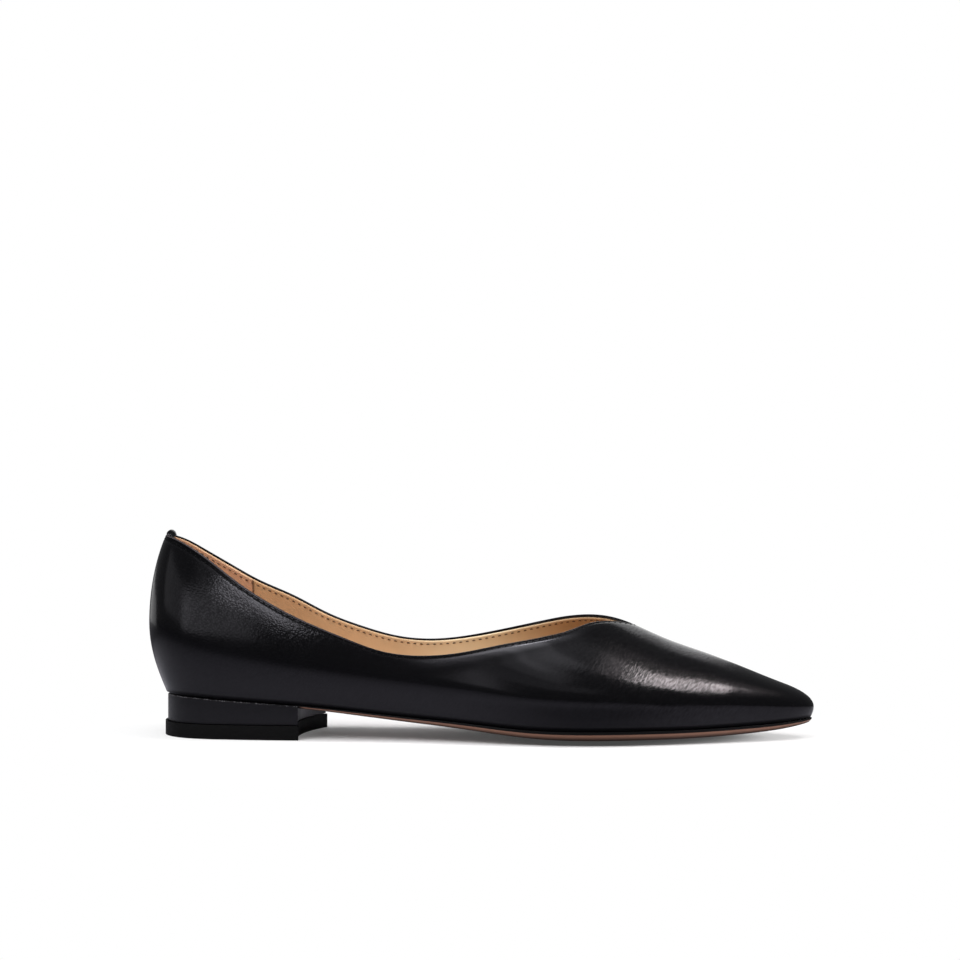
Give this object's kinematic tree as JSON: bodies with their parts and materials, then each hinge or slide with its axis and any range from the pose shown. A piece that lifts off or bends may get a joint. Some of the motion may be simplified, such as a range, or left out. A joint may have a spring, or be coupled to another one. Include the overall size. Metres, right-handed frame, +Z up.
{
  "type": "ballet flat",
  "caption": "Pointed-toe ballet flat for the right foot with a V throat, a lined leather upper, a thin leather sole and a low block heel.",
  "frame": {"origin": "on the floor, under the middle of the shoe's length and width", "axes": "+X to the toe, +Y to the inner side of the foot, +Z up"},
  "size_m": [0.2662, 0.0802, 0.0816],
  "materials": {
    "upper_leather": "black smooth leather with a fine grain and a satin gloss",
    "sock_leather": "tan lining leather, matt",
    "sole_leather": "brown sole leather with a black dyed rim",
    "heel_cover": "black smooth leather over a block",
    "lift_rubber": "black rubber, matt",
    "tab_leather": "black smooth leather"
  },
  "bodies": {
    "root": {"upper": "upper_leather", "insole": "sock_leather", "outsole": "sole_leather", "heel_block": "heel_cover", "top_lift": "lift_rubber", "back_tab": "tab_leather"}
  },
  "joints": []
}
